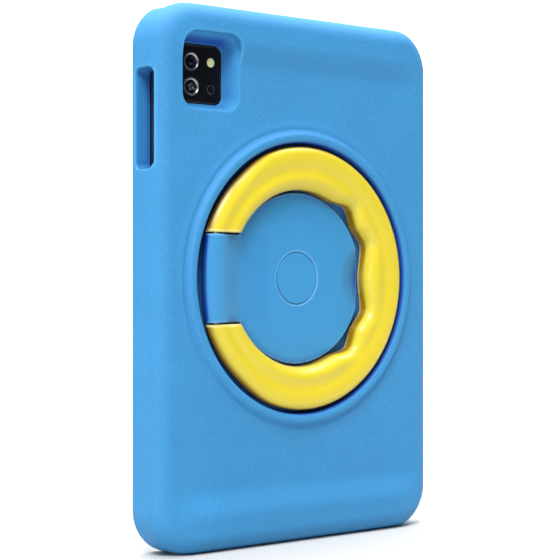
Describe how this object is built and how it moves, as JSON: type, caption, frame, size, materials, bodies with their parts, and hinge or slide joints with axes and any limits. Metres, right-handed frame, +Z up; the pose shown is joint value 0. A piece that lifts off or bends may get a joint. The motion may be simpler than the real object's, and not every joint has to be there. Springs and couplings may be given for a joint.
{
  "type": "kids toy tablet",
  "caption": "Children's tablet in a thick blue foam bumper case, with a yellow C-shaped ring handle that flips out of a round recess and turns on a disc in the back.",
  "frame": {"origin": "middle of the lower edge of the upright case, halfway through the overall depth, at the bounding box's bottom centre", "axes": "+Z up along the tablet's long side, the screen faces -Y, the ring handle is on the +Y side, +X is towards the button edge"},
  "size_m": [0.178, 0.026, 0.26],
  "materials": {
    "foam": "fine-grained EVA foam, matt, mid blue",
    "hub_plastic": "satin moulded plastic, mid blue",
    "handle_plastic": "glossy moulded plastic, yellow",
    "dark_plastic": "matt black moulded plastic",
    "steel": "bright zinc-plated steel",
    "tablet_shell": "matt dark navy plastic",
    "screen_glass": "black glossy printed glass",
    "panel": "dark display stack",
    "diffuser": "white reflector sheet",
    "island": "glossy black",
    "lens_metal": "turned silver ring",
    "lens_glass": "dark coated glass",
    "flash": "pale yellow clear lens",
    "battery": "dark laminated pouch",
    "board": "green circuit board with solder mask",
    "flex": "amber film"
  },
  "bodies": {
    "cased_tablet": {"foam_case": "foam", "pivot_cap": "hub_plastic", "backing_plate": "dark_plastic", "turntable_base": "dark_plastic", "speaker_left": "dark_plastic", "speaker_right": "dark_plastic", "headphone_jack": "dark_plastic", "front_camera": "dark_plastic", "card_reader": "dark_plastic", "microphone": "dark_plastic", "base_screws": "steel", "pivot_screw": "steel", "board_screws": "steel", "usb_port": "steel", "processor_shield": "steel", "memory_shield": "steel", "vibration_motor": "steel", "tablet_back_cover": "tablet_shell", "tablet_mid_frame": "tablet_shell", "card_tray": "tablet_shell", "cover_glass": "screen_glass", "display_panel": "panel", "backlight": "diffuser", "camera_island": "island", "camera_module_upper": "island", "camera_module_lower": "island", "lens_ring_upper": "lens_metal", "lens_ring_lower": "lens_metal", "lens_glass_upper": "lens_glass", "lens_glass_lower": "lens_glass", "rear_sensor": "lens_glass", "flash_lens": "flash", "flash_led": "flash", "battery": "battery", "battery_strip": "battery", "main_board": "board", "button_board": "board", "power_switch": "board", "volume_switches": "board", "battery_plug": "board", "processor_chip": "board", "memory_chip": "board", "display_ribbon": "flex", "wifi_antenna": "flex", "antenna_cable": "flex"},
    "turntable": {"hub_disc": "hub_plastic", "hinge_bush_upper": "dark_plastic", "hinge_bush_lower": "dark_plastic"},
    "ring_handle": {"handle_front_shell": "handle_plastic", "handle_back_shell": "handle_plastic", "handle_screws": "steel", "hinge_pin_upper": "steel", "hinge_pin_lower": "steel"},
    "power_key": {"power_button": "tablet_shell"},
    "volume_key": {"volume_rocker": "tablet_shell"}
  },
  "joints": [
    {"name": "turntable_swivel", "type": "hinge", "parent": "cased_tablet", "child": "turntable", "pos_m": [0, 0.003, 0.13], "axis": [0, 1, 0], "continuous": true},
    {"name": "handle_flip", "type": "hinge", "parent": "turntable", "child": "ring_handle", "pos_m": [0.054, 0.0085, 0.13], "axis": [0, 0, -1], "range_deg": [0, 105]},
    {"name": "power_press", "type": "slide", "parent": "cased_tablet", "child": "power_key", "axis": [-1, 0, 0], "range_m": [0, 0.0004], "stiffness_N_per_m": 3000, "springref_m": -0.0002},
    {"name": "volume_press", "type": "slide", "parent": "cased_tablet", "child": "volume_key", "axis": [-1, 0, 0], "range_m": [0, 0.0004], "stiffness_N_per_m": 3000, "springref_m": -0.0002}
  ]
}
